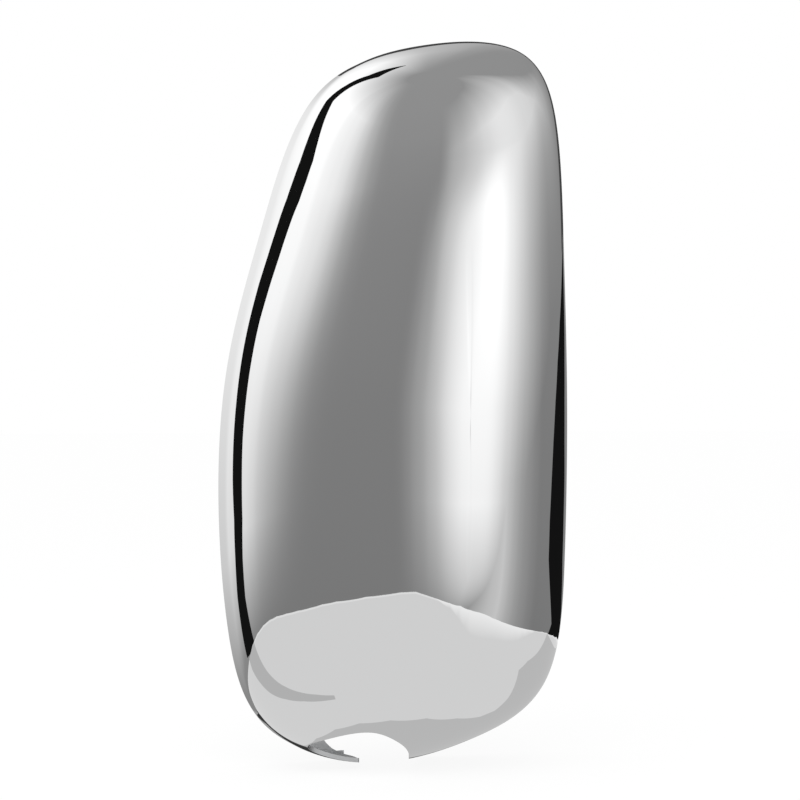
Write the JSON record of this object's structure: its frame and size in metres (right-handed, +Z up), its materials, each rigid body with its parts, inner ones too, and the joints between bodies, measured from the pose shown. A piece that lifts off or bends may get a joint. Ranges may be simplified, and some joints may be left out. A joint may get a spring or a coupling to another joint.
{
  "type": "wing mirror cover",
  "caption": "Tall domed clip-on cover for the head of a wing mirror, chrome plated, with a stepped rim, an arm cut-out, snap catches and locating pins inside.",
  "frame": {"origin": "middle of the rim's width and height, in the plane of the rim", "axes": "+Z up along the cover's length, +Y out of the open side towards the mirror glass, -Y towards the front of the dome, +X towards the vehicle"},
  "size_m": [0.2318, 0.116, 0.4867],
  "materials": {
    "chrome_plate": "bright chrome plate on a moulded plastic shell, mirror polished outside and plain inside"
  },
  "bodies": {
    "root": {"cover_shell": "chrome_plate"}
  },
  "joints": []
}
